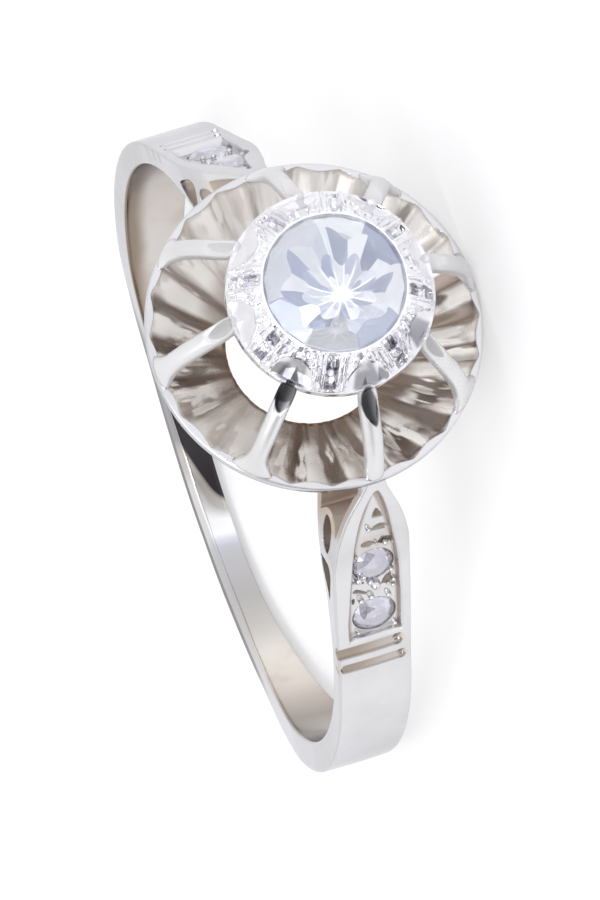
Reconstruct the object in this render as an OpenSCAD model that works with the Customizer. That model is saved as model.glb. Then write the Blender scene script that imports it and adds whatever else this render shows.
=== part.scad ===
// Solitaire ring: an illusion-set brilliant on a fluted cup with eight claws, and a
// tapering band with pierced, stone-set shoulders.
// The ring lies on its side as it rests by itself: on the rim of the cup and on the
// edge of the band at the back. The head points to -Y and the finger hole to +Z.

/* [Band] */
// Radius of the finger hole
bore_r = 8.5; // [8.4:0.05:8.6]
// Thickness of the band at its sides
band_t = 0.82; // [0.8:0.02:0.9]
// How much lower the outer circle sits than the finger hole, which thickens the back
band_drop = 0.425; // [0.4:0.025:0.45]
// Half the width of the band at the back
back_half_w = 0.36; // [0.35:0.01:0.45]
// Half the width of the band where the shoulders start
side_half_w = 0.94; // [0.92:0.01:0.98]

/* [Shoulders] */
// Half the width of the shoulders at their widest
shoulder_half_w = 1.1; // [1.06:0.01:1.12]
// Angle of the flat top of a shoulder from upright
shoulder_lean = 27.25; // [27:0.25:27.5]
// Depth of the lancet recess in the top of a shoulder
recess_depth = 0.2; // [0.16:0.02:0.24]

/* [Cup] */
// Outer radius of the rim of the cup
rim_r = 4.62; // [4.6:0.01:4.66]
// Height of the rim above the centre of the finger hole
rim_z = 11.34; // [11.3:0.02:11.38]
// Height of the upright band of the rim
rim_h = 0.3; // [0.25:0.05:0.35]
// Radius of the open base of the cup
base_hole_r = 2.19; // [2.15:0.01:2.22]
// Number of flutes round the cup
flutes = 24; // [16:8:32]
// Depth of the flutes at the rim, from ridge to valley
flute_depth = 0.2; // [0.12:0.02:0.22]

/* [Claws] */
// Width of a claw
claw_w = 0.54; // [0.46:0.02:0.6]
// Turn of the whole head about its own axis
head_turn = 2; // [0:0.5:4]

/* [Plate and stones] */
// Radius of the illusion plate
plate_r = 2.84; // [2.8:0.01:2.84]
// Radius of the centre stone at its girdle
stone_r = 1.95; // [1.93:0.01:1.95]
// Radius of a shoulder stone at its girdle
small_r = 0.62; // [0.56:0.02:0.62]

/* [Hidden] */

claws = 8;
round_fn = 96;
outer_r = bore_r + band_t;                       // radius of the band's outer circle
back_r = outer_r + band_drop;                    // lowest point of the band
n_out = [cos(shoulder_lean), sin(shoulder_lean)];    // outward normal of a shoulder's top, in X and Z
n_up = [-sin(shoulder_lean), cos(shoulder_lean)];    // direction that climbs a shoulder
top_d = outer_r - band_drop * sin(shoulder_lean);    // distance of that top from the hole's centre
top_start = -band_drop * cos(shoulder_lean);     // where it leaves the outer circle
foot_mid = base_hole_r + 0.13;                   // middle of the wall of the cup's foot
seat_z = 14.05;                                  // underside of the plate
girdle_z = 15.08;                                // lower edge of the centre stone's girdle
table_z = girdle_z + 0.57;
table_r = 1.3;

// Place at rest: the tilt that puts the rim and the back of the band on one surface
rim_low = rim_z - rim_h;
tilt = atan((rim_r - back_half_w) / (rim_low + back_r));
lift = rim_r * cos(tilt) - rim_low * sin(tilt);
far_y = table_z * cos(tilt) + table_r * sin(tilt);
near_y = back_r * cos(tilt) + back_half_w * sin(tilt);
module at_rest() {
    translate([0, (far_y - near_y) / 2, lift]) rotate([tilt - 90, 0, 180]) children();
}

// Half width of the band by height. Columns: z, half width
band_rows = [
    [-back_r - 0.3, back_half_w],
    [-9.2, back_half_w],
    [-8.8, back_half_w + 0.02],
    [-7.9, back_half_w + 0.09],
    [-6.5, back_half_w + 0.25],
    [-4.6, side_half_w - 0.14],
    [-2.4, side_half_w - 0.04],
    [0, side_half_w],
    [4.2, side_half_w + 0.08],
    [6.2, shoulder_half_w],
    [13, shoulder_half_w]];

// Half width of a shoulder by distance climbed. Columns: climb, half width
lancet_rows = [
    [4.3, shoulder_half_w],
    [5.14, 1.04],
    [5.74, 0.94],
    [6.42, 0.76],
    [7.02, 0.53],
    [7.7, 0.3]];

// Half width of the recess by distance climbed. Columns: climb, half width
recess_rows = [
    [1.5, 0.77],
    [2.7, 0.74],
    [4.3, 0.67],
    [5.3, 0.56],
    [6.3, 0.38],
    [6.9, 0.18],
    [7.15, 0.04]];

// Small stones on a shoulder. Columns: climb
small_rows = [[2.36], [4.5]];

// A point given by distance out from the hole's centre and climb, in X and Z
function at(d, u) = [d * n_out[0] + u * n_up[0], d * n_out[1] + u * n_up[1]];

// A closed outline with the rows on both sides of the middle
function both_sides(rows) = concat(
    [for (r = rows) [r[0], r[1]]],
    [for (i = [len(rows) - 1:-1:0]) [rows[i][0], -rows[i][1]]]);

// Draws a flat X-Z outline as a slab across the band
module across(half) {
    rotate([90, 0, 0]) translate([0, 0, -half]) linear_extrude(2 * half) children();
}

// Puts a shape on the top of the near shoulder: its X climbs, its Y stays, its Z points out
module on_shoulder(climb, out) {
    p = at(out, climb);
    translate([p[0], 0, p[1]]) rotate([0, -shoulder_lean, 0]) rotate([0, 90, 0]) rotate([0, 0, 180])
        children();
}

module each_shoulder() {
    children();
    mirror([1, 0, 0]) children();
}

// One pointed leaf between two points, swelling by a on its outer side and b on its inner side
function leaf(p, q, a, b, n = 8) =
    let (d = q - p, s = [-d[1], d[0]] / norm(d))
    concat([for (i = [0:n]) p + d * i / n + s * a * sin(180 * i / n)],
           [for (i = [n - 1:-1:1]) p + d * i / n - s * b * sin(180 * i / n)]);

// Body of one shoulder, before it is pierced
module shoulder_block() {
    across(1.5) polygon([at(top_d, top_start), at(top_d, 7.68), [4.3, 10.92], [foot_mid, 9.3], [foot_mid, 8], [5.5, 5.5], [7.6, 3.8]]);
}

// Open triangle and two leaves in the side of a shoulder
module side_piercings() {
    across(2) polygon([at(top_d - 0.52, 7.1), at(top_d - 0.42, 5.62), [4.87, 9.28], [4.47, 9.14], [4.22, 8.66], [4.13, 8.06], [3.7, 8.32], [2.85, 8.8], [2.85, 9.4]]);
    across(2) polygon(leaf([4.55, 8.8], [5.3, 7.58], 0.33, 0.33));
    across(2) polygon(leaf([5.3, 7.2], [6.2, 6.42], 0.5, 0));
}

// Side walls of a shoulder close in to a point under the rim
module lancet_trim() {
    for (s = [-1, 1])
        on_shoulder(0, top_d + 0.5) translate([0, 0, -3.4]) linear_extrude(4)
            polygon(concat([for (r = lancet_rows) [r[0], s * r[1]]], [[8.4, s * 0.3], [8.4, s * 2], [4.3, s * 2]]));
}

// Recess on top of a shoulder, with its two cross grooves, three cuts and the seats of two stones
module recess() {
    on_shoulder(0, top_d - recess_depth) linear_extrude(1) polygon(both_sides(recess_rows));
    for (g = [[1.15, 0.17, 0.88], [0.46, 0.12, 0.92]])
        on_shoulder(g[0], top_d) rotate([0, 45, 0]) cube([g[1] * 1.41, 2 * g[2], g[1] * 1.41], center = true);
    on_shoulder(6.38, top_d - 0.45) linear_extrude(0.5) polygon([[-0.16, -0.17], [-0.16, 0.17], [0.18, 0]]);
    on_shoulder(5.84, top_d - 0.45) translate([-0.1, -0.25, 0]) cube([0.2, 0.5, 0.5]);
    for (s = [-1, 1]) on_shoulder(5.35, top_d - 0.45) translate([-0.1, s * 0.24 - 0.16, 0]) cube([0.2, 0.32, 0.5]);
    for (r = small_rows) on_shoulder(r[0], top_d - recess_depth - 0.55) cylinder(r = small_r + 0.02, h = 1, $fn = round_fn);
}

// Band with both shoulders
module hoop() {
    difference() {
        intersection() {
            union() {
                translate([0, 0, -band_drop]) rotate([90, 0, 0]) translate([0, 0, -1.5]) cylinder(r = outer_r, h = 3, $fn = round_fn);
                each_shoulder() shoulder_block();
            }
            // Outline of the band seen along X
            rotate([0, -90, 0]) translate([0, 0, -12]) linear_extrude(24) polygon(both_sides(band_rows));
        }
        rotate([90, 0, 0]) translate([0, 0, -5]) cylinder(r = bore_r, h = 10, $fn = round_fn);
        // The band is open under the cup
        translate([-foot_mid + 0.05, -3, 6]) cube([2 * foot_mid - 0.1, 6, 6]);
        each_shoulder() { side_piercings(); lancet_trim(); recess(); }
    }
}

// Wavy inner wall of the cup: a ring of points for each height. Columns: z, radius, wave
flute_steps = 4 * flutes;
cup_rows = [
    [9.37, base_hole_r - 0.17, 0.01],
    [9.77, base_hole_r + 0.29, 0.03],
    [rim_z, 4.43, flute_depth / 2],
    [rim_z + 0.5, 5.05, flute_depth / 2]];
module flute_cut() {
    n = flute_steps;
    pts = [for (r = cup_rows) for (i = [0:n - 1])
        let (a = 360 * i / n + head_turn, q = r[1] + r[2] * cos(360 * flutes * i / n))
        [q * cos(a), q * sin(a), r[0]]];
    m = len(cup_rows);
    polyhedron(pts, concat(
        [[for (i = [0:n - 1]) i]],
        [[for (i = [n - 1:-1:0]) (m - 1) * n + i]],
        [for (k = [0:m - 2]) for (i = [0:n - 1]) [k * n + i, (k + 1) * n + i, k * n + (i + 1) % n]],
        [for (k = [0:m - 2]) for (i = [0:n - 1]) [k * n + (i + 1) % n, (k + 1) * n + i, (k + 1) * n + (i + 1) % n]]));
}

// Fluted cup on its short open foot
module cup() {
    difference() {
        rotate_extrude($fn = round_fn) polygon([
            [base_hole_r - 0.5, 7.9], [base_hole_r + 0.28, 7.9], [base_hole_r + 0.3, 9.4],
            [rim_r, rim_low], [rim_r, rim_z], [base_hole_r - 0.5, rim_z]]);
        flute_cut();
        cylinder(r = base_hole_r, h = 20, $fn = round_fn);
        rotate([90, 0, 0]) translate([0, 0, -5]) cylinder(r = bore_r, h = 10, $fn = round_fn);
    }
}

// One claw, from the rim up to the edge of the plate. Outline in radius and height
module claw() {
    difference() {
        union() {
            across(claw_w / 2) polygon([
                [4.59, 11.2], [4.59, 11.53], [4.47, 11.91], [4.22, 12.47], [3.94, 12.94], [3.62, 13.36], [3.28, 13.8],
                [3.03, 14.16], [2.93, 14.36], [2.87, 14.36], [2.87, seat_z - 0.03], [2.45, seat_z - 0.03],
                [2.72, 13.7], [3.05, 13.32], [3.4, 12.85], [3.71, 12.34], [3.9, 11.78], [3.97, 11.33], [3.97, 10.85]]);
            // Foot spreading along the rim
            translate([4.21, 0, 0]) rotate([90, 0, 90]) translate([0, 0, -0.2]) linear_extrude(0.5)
                polygon([[-0.62, 11.08], [0.62, 11.08], [0.5, 11.44], [0.2, 11.78], [-0.2, 11.78], [-0.5, 11.44]]);
        }
        // Nothing stands outside the rim
        difference() {
            translate([0, 0, 9.5]) cylinder(r = 7, h = 6, $fn = round_fn);
            translate([0, 0, 8.5]) cylinder(r = rim_r - 0.01, h = 8, $fn = round_fn);
        }
    }
}

module ring_mount() {
    color([0.80, 0.79, 0.77])
    at_rest() {
        hoop();
        cup();
        for (i = [0:claws - 1]) rotate([0, 0, head_turn + 360 * i / claws]) claw();
    }
}

module illusion_plate() {
    color([0.88, 0.88, 0.90])
    at_rest() difference() {
        rotate_extrude($fn = round_fn) polygon([
            [1.55, seat_z], [plate_r, seat_z], [plate_r, 14.4], [2.7, 14.58], [2.04, 15.2], [1.91, 15.24],
            [1.91, 15.18], [1.975, 15.14], [1.975, 15.05], [1.55, 14.68]]);
        // Eight windows, each left for one grain
        for (i = [0:claws - 1]) rotate([0, 0, head_turn + 22.5 + 360 * i / claws])
            translate([2.42, -0.15, 14.66]) rotate([0, 47, 0]) translate([-0.12, 0, 0]) difference() {
                cube([0.34, 0.3, 0.5]);
                translate([0.17, 0.15, -0.1]) cylinder(r = 0.09, h = 0.7, $fn = 24);
            }
    }
}

// Round brilliant: pavilion, girdle and crown
module brilliant(r, pavilion, girdle, crown, table, sides) {
    translate([0, 0, -pavilion]) cylinder(r1 = 0.02, r2 = r, h = pavilion, $fn = sides);
    cylinder(r = r, h = girdle, $fn = sides);
    translate([0, 0, girdle]) cylinder(r1 = r, r2 = table, h = crown, $fn = sides);
}

module centre_stone() {
    color([0.86, 0.90, 0.97])
    at_rest() translate([0, 0, girdle_z]) rotate([0, 0, head_turn + 5.625])
        brilliant(stone_r, 1.62, 0.04, 0.53, table_r, 32);
}

module small_stone(climb) {
    on_shoulder(climb, top_d - recess_depth - 0.06) brilliant(small_r, 0.42, 0.04, 0.17, 0.34, 16);
}

module shoulder_stone_near_lower() { color([0.78, 0.80, 0.88]) at_rest() small_stone(small_rows[0][0]); }
module shoulder_stone_near_upper() { color([0.78, 0.80, 0.88]) at_rest() small_stone(small_rows[1][0]); }
module shoulder_stone_far_lower() { color([0.78, 0.80, 0.88]) at_rest() mirror([1, 0, 0]) small_stone(small_rows[0][0]); }
module shoulder_stone_far_upper() { color([0.78, 0.80, 0.88]) at_rest() mirror([1, 0, 0]) small_stone(small_rows[1][0]); }

ring_mount();
illusion_plate();
centre_stone();
shoulder_stone_near_lower();
shoulder_stone_near_upper();
shoulder_stone_far_lower();
shoulder_stone_far_upper();
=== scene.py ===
import bpy, bmesh, math
import numpy as np
from mathutils import Matrix, Vector


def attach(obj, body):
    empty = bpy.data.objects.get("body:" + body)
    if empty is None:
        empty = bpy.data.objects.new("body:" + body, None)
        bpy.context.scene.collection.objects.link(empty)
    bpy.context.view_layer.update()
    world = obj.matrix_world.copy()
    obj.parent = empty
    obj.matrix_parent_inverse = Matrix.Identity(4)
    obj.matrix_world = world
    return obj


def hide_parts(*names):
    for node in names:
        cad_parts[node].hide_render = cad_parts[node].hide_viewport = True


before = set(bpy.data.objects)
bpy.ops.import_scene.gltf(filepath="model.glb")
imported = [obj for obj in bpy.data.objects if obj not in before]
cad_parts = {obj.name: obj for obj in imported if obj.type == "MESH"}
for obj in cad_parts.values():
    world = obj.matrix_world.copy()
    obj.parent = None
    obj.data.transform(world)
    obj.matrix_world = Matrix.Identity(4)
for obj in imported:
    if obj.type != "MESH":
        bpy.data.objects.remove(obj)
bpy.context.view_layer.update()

# ---------------------------------------------------------------- sizes, mm
# Ring frame: X towards the near shoulder, Y along the finger, Z out through the head.
BORE, OUTER, DROP = 8.5, 9.315, 0.425
LEAN = math.radians(27.25)
SL, CL = math.sin(LEAN), math.cos(LEAN)
TOP = OUTER - DROP * SL
RIM_R, RIM_Z, RIM_H = 4.62, 11.34, 0.3
RIM_LOW = RIM_Z - RIM_H
HOLE_R, HOLE_Z = 2.19, 9.46
PLATE_R, PLATE_Z = 2.84, 14.40
SEAT_Z, GIRDLE_Z, TABLE_Z = 14.05, 15.08, 15.65
STONE_R, TABLE_R = 1.95, 1.30
BACK_W = 0.36
TURN = math.radians(2.0)
CLAWS = 8

# Place at rest, as in the part's own source
BACK_R = 9.745
TILT = math.atan((RIM_R - BACK_W) / (RIM_LOW + BACK_R))
CT, ST = math.cos(TILT), math.sin(TILT)
LIFT = RIM_R * CT - RIM_LOW * ST
FAR_Y = TABLE_Z * CT + TABLE_R * ST
NEAR_Y = (BACK_R) * CT + BACK_W * ST
A = np.array([[-1, 0, 0], [0, -ST, -CT], [0, -CT, ST]])
B = np.array([0, (FAR_Y - NEAR_Y) / 2, LIFT])


def to_row(p):
    return (np.asarray(p, float) @ A.T + B) / 1000.0


# ---------------------------------------------------------------- mesh helpers
def mesh_object(name, verts, faces):
    me = bpy.data.meshes.new(name)
    me.from_pydata([tuple(map(float, v)) for v in verts], [], [tuple(map(int, f)) for f in faces])
    me.validate()
    bm = bmesh.new()
    bm.from_mesh(me)
    bmesh.ops.remove_doubles(bm, verts=bm.verts, dist=1e-6)
    bmesh.ops.recalc_face_normals(bm, faces=bm.faces)
    bm.to_mesh(me)
    bm.free()
    o = bpy.data.objects.new(name, me)
    bpy.context.scene.collection.objects.link(o)
    return o


def loft(name, rows, closed_rows=False, cap=True):
    """A skin over rows of closed loops that all have the same number of points."""
    rows = [np.asarray(r, float) for r in rows]
    n, m = len(rows), len(rows[0])
    faces = []
    for k in range(n if closed_rows else n - 1):
        a, b = k * m, ((k + 1) % n) * m
        for i in range(m):
            j = (i + 1) % m
            faces.append((a + i, a + j, b + j, b + i))
    if cap and not closed_rows:
        faces.append(tuple(range(m - 1, -1, -1)))
        faces.append(tuple(range((n - 1) * m, n * m)))
    return mesh_object(name, np.vstack(rows), faces)


def boolean(a, b, op="DIFFERENCE"):
    bpy.context.view_layer.update()
    m = a.modifiers.new("cut", "BOOLEAN")
    m.object, m.operation, m.solver = b, op, "MANIFOLD"
    me = bpy.data.meshes.new_from_object(a.evaluated_get(bpy.context.evaluated_depsgraph_get()))
    a.modifiers.clear()
    old, a.data = a.data, me
    bpy.data.meshes.remove(old)
    bpy.data.objects.remove(b)
    return a


def join(name, objs):
    verts, faces, off = [], [], 0
    for o in objs:
        verts += [tuple(v.co) for v in o.data.vertices]
        faces += [tuple(i + off for i in p.vertices) for p in o.data.polygons]
        off += len(o.data.vertices)
        bpy.data.objects.remove(o)
    return mesh_object(name, verts, faces)


def drop_loose(bm):
    """Triangles, without slivers folded flat and without grains that touch nothing."""
    bmesh.ops.triangulate(bm, faces=bm.faces)
    bm.verts.index_update()
    same = {}
    for f in bm.faces:
        same.setdefault(frozenset(v.index for v in f.verts), []).append(f)
    bmesh.ops.delete(bm, geom=[f for fs in same.values() if len(fs) > 1 for f in fs], context="FACES")
    parts = []
    for f in bm.faces:
        f.tag = False
    for f in bm.faces:
        if f.tag:
            continue
        f.tag = True
        part = [f]
        for g in part:
            for e in g.edges:
                for h in e.link_faces:
                    if not h.tag:
                        h.tag = True
                        part.append(h)
        parts.append(part)
    parts.sort(key=len, reverse=True)
    bmesh.ops.delete(bm, geom=[f for part in parts[1:] for f in part], context="FACES")


def smooth_by_angle(o, degrees, one_part=False):
    bm = bmesh.new()
    bm.from_mesh(o.data)
    bmesh.ops.remove_doubles(bm, verts=bm.verts, dist=2e-4)
    bmesh.ops.dissolve_degenerate(bm, edges=bm.edges, dist=2e-4)
    if one_part:
        drop_loose(bm)
    limit = math.radians(degrees)
    for f in bm.faces:
        f.smooth = True
    for e in bm.edges:
        e.smooth = len(e.link_faces) == 2 and e.calc_face_angle(0.0) < limit
    bm.to_mesh(o.data)
    bm.free()


def place(o):
    """From the ring frame in mm to the row frame in metres."""
    n = len(o.data.vertices)
    co = np.zeros(n * 3)
    o.data.vertices.foreach_get("co", co)
    o.data.vertices.foreach_set("co", to_row(co.reshape(-1, 3)).ravel())
    o.data.update()
    return o


def ball(centre, r, flat=1.0, up=(0, 0, 1), seg=14, rings=8):
    """A small grain of metal: a ball, flattened along up."""
    up = np.array(up, float) / np.linalg.norm(up)
    side = np.cross(up, [0.3, 0.9, 0.2])
    side /= np.linalg.norm(side)
    third = np.cross(up, side)
    verts, faces = [], []
    for i in range(1, rings):
        t = math.pi * i / rings
        for j in range(seg):
            p = 2 * math.pi * j / seg
            verts.append(np.array(centre) + r * (math.sin(t) * (math.cos(p) * side + math.sin(p) * third) + flat * math.cos(t) * up))
    top, bot = len(verts), len(verts) + 1
    verts += [np.array(centre) + r * flat * up, np.array(centre) - r * flat * up]
    for i in range(rings - 2):
        for j in range(seg):
            k = (j + 1) % seg
            faces.append((i * seg + j, (i + 1) * seg + j, (i + 1) * seg + k, i * seg + k))
    for j in range(seg):
        k = (j + 1) % seg
        faces.append((top, j, k))
        faces.append((bot, (rings - 2) * seg + k, (rings - 2) * seg + j))
    return mesh_object("grain", verts, faces)


# ---------------------------------------------------------------- hoop
# Half width of the band. Columns: angle above the horizontal through the hole, at the inner face, at the outer face
BAND_W = np.array([
    [-90, .385, .37], [-75, .405, .40], [-60, .53, .475], [-45, .70, .67], [-30, .86, .87], [0, .99, 1.015], [25, 1.02, 1.07]])
# Half width at the inner face above the band. Columns: angle, half width
INNER_W = np.array([
    [25, 1.02], [34, 1.02], [40, 1.01], [45, .995], [51.5, .99], [53.5, .965], [56.6, .925], [59.7, .86], [62, .81], [65, .72],
    [68, .62], [75, .45]])
# Top of each shoulder. Columns: climb, middle line, half width
LANCET = {1: np.array([
    [-.38, 0, 1.06], [.87, 0, 1.08], [2.16, 0, 1.11], [3.44, 0, 1.12], [4.39, 0, 1.12], [5.14, .04, 1.08], [5.74, .07, .98],
    [6.42, .10, .79], [7.02, .14, .54], [7.47, .18, .34], [7.7, .2, .29], [9, .2, .28]]),
    -1: np.array([
    [-.38, 0, 1.06], [.87, 0, 1.07], [2.16, -.02, 1.09], [3.23, -.02, 1.11], [3.95, -.02, 1.06], [4.6, -.03, .97], [5.13, -.03, .87],
    [5.7, -.0, .74], [6.22, .04, .57], [6.8, .1, .41], [7.3, .15, .32], [7.7, .18, .29], [9, .2, .28]])}
# Recess in that top. Columns: climb, middle line, half width
RECESS = {1: np.array([
    [1.44, .05, .76], [2.1, .05, .765], [2.7, .07, .745], [3.5, .09, .71], [4.3, .11, .665], [4.8, .11, .62], [5.3, .10, .555],
    [5.9, .11, .465], [6.45, .135, .355], [6.9, .165, .225], [7.15, .19, .12], [7.32, .2, .03]]),
    -1: np.array([
    [1.46, -.04, .74], [2.1, -.04, .77], [2.8, -.05, .79], [3.4, -.05, .76], [3.95, -.05, .66], [4.5, -.02, .5], [5.0, .01, .37],
    [5.5, .04, .26], [6.0, .08, .16], [6.3, .1, .1], [6.6, .12, .03]])}
T_TOP = math.atan2(-DROP + OUTER * SL, OUTER * CL)


def smooth(x, tab, col):
    """A table read through a monotone cubic."""
    xs, ys = tab[:, 0], tab[:, col]
    if x <= xs[0]:
        return ys[0]
    if x >= xs[-1]:
        return ys[-1]
    i = int(np.searchsorted(xs, x)) - 1
    d = np.diff(ys) / np.diff(xs)
    m = [d[0]] + [0 if d[k - 1] * d[k] <= 0 else 2 * d[k - 1] * d[k] / (d[k - 1] + d[k]) for k in range(1, len(d))] + [d[-1]]
    h = xs[i + 1] - xs[i]
    t = (x - xs[i]) / h
    return ((2 * t**3 - 3 * t**2 + 1) * ys[i] + (t**3 - 2 * t**2 + t) * h * m[i]
            + (-2 * t**3 + 3 * t**2) * ys[i + 1] + (t**3 - t**2) * h * m[i + 1])


def out_r(th):
    if th >= T_TOP:
        return TOP / math.cos(th - LEAN)
    return -DROP * math.sin(th) + math.sqrt(OUTER**2 - (DROP * math.cos(th))**2)


def half_width(x, z, mx=1):
    """Half width and middle line of the hoop at a point of its side view."""
    th = math.atan2(z, x)
    if th < T_TOP:
        a = math.degrees(th)
        rho = (math.hypot(x, z) - BORE) / (out_r(th) - BORE)
        wi, wo = smooth(a, BAND_W, 1), smooth(a, BAND_W, 2)
        return wi + (wo - wi) * rho, 0.0
    u, dep = -x * SL + z * CL, TOP - (x * CL + z * SL)
    xi, zi = BORE * math.cos(th), BORE * math.sin(th)
    ui, di = -xi * SL + zi * CL, TOP - (xi * CL + zi * SL)
    tab = LANCET[mx]
    k = (smooth(ui, tab, 2) - smooth(math.degrees(th), INNER_W, 1)) / di
    return max(smooth(u, tab, 2) - k * dep, 0.2), smooth(u, tab, 1)


def section(inner, outer, rc_o, rc_i, crown, mx):
    """A closed loop across the band, from an inner to an outer point of the side view."""
    inner, outer = np.array(inner), np.array(outer)
    length = np.linalg.norm(outer - inner)
    d = (outer - inner) / length
    rc_o, rc_i = min(rc_o, length * 0.3), min(rc_i, length * 0.3)
    pts = []

    def put(h, y):
        q = inner + d * h
        pts.append((q[0], y, q[1]))

    def w_at(h):
        q = inner + d * h
        return half_width(q[0], q[1], mx)

    wo, co = w_at(length - rc_o)
    wi, ci = w_at(rc_i)
    side = []
    n_o, n_c, n_s, n_i = 7, 5, 9, 6
    for i in range(n_o):                                   # outer face, middle to +Y
        y = (wo - rc_o) * i / n_o
        side.append((length - crown * (y / wo)**2, y, 0))
    for i in range(n_c):                                   # outer corner
        a = math.pi / 2 * i / (n_c - 1)
        side.append((length - crown * (1 - math.sin(a)) * 0.8 - rc_o + rc_o * math.cos(a), wo - rc_o + rc_o * math.sin(a), 0))
    for i in range(1, n_s):                                # side
        h = (length - rc_o) + (rc_i - (length - rc_o)) * i / n_s
        side.append((h, None, 0))
    for i in range(n_c):                                   # inner corner
        a = math.pi / 2 * i / (n_c - 1)
        side.append((rc_i - rc_i * math.sin(a), wi - rc_i + rc_i * math.cos(a), 1))
    for i in range(1, n_i + 1):                            # inner face, back to the middle
        side.append((0, (wi - rc_i) * (1 - i / n_i), 1))
    loop = []
    for h, y, which in side:
        if y is None:
            w, c = w_at(h)
            loop.append((h, c + w))
        else:
            loop.append((h, (ci if which else co) + y))
    for h, y, which in reversed(side[1:-1]):
        if y is None:
            w, c = w_at(h)
            loop.append((h, c - w))
        else:
            loop.append((h, (ci if which else co) - y))
    for h, y in loop:
        put(h, y)
    return np.array(pts)


def hoop():
    halves = []
    for mx in (1, -1):
        secs = []
        for f in np.linspace(1, 0, 7)[:-1]:                # into the wall of the cup and its foot
            a = math.radians(67.5 + (74.3 - 67.5) * f)
            secs.append(section((BORE * math.cos(a), BORE * math.sin(a)), (4.555 - 2.2 * f, 11.08 - 1.58 * f), 0.07, 0.055, 0, mx))
        ths = np.concatenate([np.arange(67.5, 20, -0.9), np.arange(20, -90, -1.25), [-90]])
        for th in ths:
            a = math.radians(th)
            r = out_r(a)
            band = np.clip((22 - th) / 25, 0, 1)
            secs.append(section((BORE * math.cos(a), BORE * math.sin(a)), (r * math.cos(a), r * math.sin(a)),
                                0.07 - 0.005 * band, 0.055, 0.015 * band, mx))
        halves.append([s * np.array([mx, 1, 1]) for s in secs])
    return loft("hoop", halves[0] + halves[1][:-1][::-1])


def on_top(u, y, h, mx=1):
    """A point on the top of a shoulder: climb, across, height above it."""
    return (mx * ((TOP + h) * CL - u * SL), y, (TOP + h) * SL + u * CL)


def prism_top(name, rows, mx):
    """A cutter for the top of a shoulder. Each row is (height, outline of (climb, across))."""
    return loft(name, [[on_top(u, y, h, mx) for u, y in outline] for h, outline in rows])


def outline_offset(pts, d):
    pts = np.array(pts, float)
    nxt, prv = np.roll(pts, -1, 0), np.roll(pts, 1, 0)
    t = (nxt - prv) / np.linalg.norm(nxt - prv, axis=1)[:, None]
    area = np.sum(pts[:, 0] * nxt[:, 1] - nxt[:, 0] * pts[:, 1])
    n = np.c_[t[:, 1], -t[:, 0]] * (1 if area > 0 else -1)
    return pts + n * d


def recess_cutter(mx):
    tab = RECESS[mx]
    lo, hi = tab[0, 0], tab[-1, 0]
    us = lo + (hi - lo) * np.concatenate([np.linspace(0, .93, 28), [.945, .96, .975, .99, 1]])
    half = [(u, smooth(u, tab, 1), smooth(u, tab, 2)) for u in us]
    out = [(u, c + w) for u, c, w in half] + [(u, c - w) for u, c, w in half[::-1]]
    rows = [(-0.21, outline_offset(out, -0.05)), (-0.07, outline_offset(out, -0.012)), (-0.025, outline_offset(out, 0.012)),
            (0.0, outline_offset(out, 0.05)), (0.3, outline_offset(out, 0.07))]
    return prism_top("recess", rows, mx)


def groove_cutter(u0, r, lift, y0, y1, bend, mx):
    """A round-bottomed groove across a shoulder."""
    rows, n = [], 22
    for i in range(n + 1):
        f = i / n
        y = y0 + (y1 - y0) * f
        edge = min(f, 1 - f) / 0.5
        k = max(0.02, math.sqrt(max(0.0, 1 - (1 - min(1, edge * 6))**2)))
        u = u0 + bend * (4 * f * (1 - f))
        rows.append([on_top(u + r * k * math.cos(a), y, lift + r * k * math.sin(a), mx) for a in np.linspace(0, 2 * math.pi, 25)[:-1]])
    return loft("groove", rows)


def blob_cutter(outline, depth, mx):
    """A bright cut with sloping walls."""
    return prism_top("cut", [(-0.2 - depth, outline_offset(outline, -0.05)), (-0.2, outline_offset(outline, 0.0)), (-0.1, outline_offset(outline, 0.03))], mx)


def ring_of(u, y, ru, ry, n=16, turn=0.0):
    return [(u + ru * math.cos(a) * math.cos(turn) - ry * math.sin(a) * math.sin(turn),
             y + ru * math.cos(a) * math.sin(turn) + ry * math.sin(a) * math.cos(turn)) for a in np.linspace(0, 2 * math.pi, n + 1)[:-1]]


# Openings in the side of a shoulder, as closed outlines. Columns: out from the hole's middle, up
TRIANGLE = [(3.45, 8.28), (3.66, 8.15), (3.88, 8.02), (4.09, 7.94), (4.16, 8.16), (4.24, 8.46), (4.40, 8.72), (4.60, 8.90), (4.82, 8.98), (5.05, 8.97),
            (5.25, 8.95), (5.22, 9.1), (5.10, 9.38), (4.88, 9.82), (4.66, 10.24), (4.45, 10.5), (3.2, 10.2), (2.75, 9.5), (2.75, 8.72), (3.2, 8.45)]
TRIANGLE_FAR = [(3.45, 8.28), (3.66, 8.15), (3.88, 8.02), (4.09, 7.94), (4.16, 8.16), (4.24, 8.46), (4.40, 8.62), (4.70, 8.72), (5.0, 8.72), (5.2, 8.72),
                (5.38, 8.76), (5.34, 8.95), (5.22, 9.32), (5.02, 9.78), (4.82, 10.16), (4.6, 10.42), (3.2, 10.2), (2.75, 9.5), (2.75, 8.72), (3.2, 8.45)]
LEAF_1 = [(4.43, 8.42), (4.47, 8.18), (4.60, 7.93), (4.78, 7.76), (5.0, 7.68), (5.22, 7.72), (5.36, 7.86), (5.39, 8.02), (5.33, 8.27), (5.2, 8.5), (5.02, 8.66),
          (4.83, 8.71), (4.63, 8.66), (4.5, 8.55)]
LEAF_1_FAR = [(x + .07, z - .05) for x, z in LEAF_1]
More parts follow.
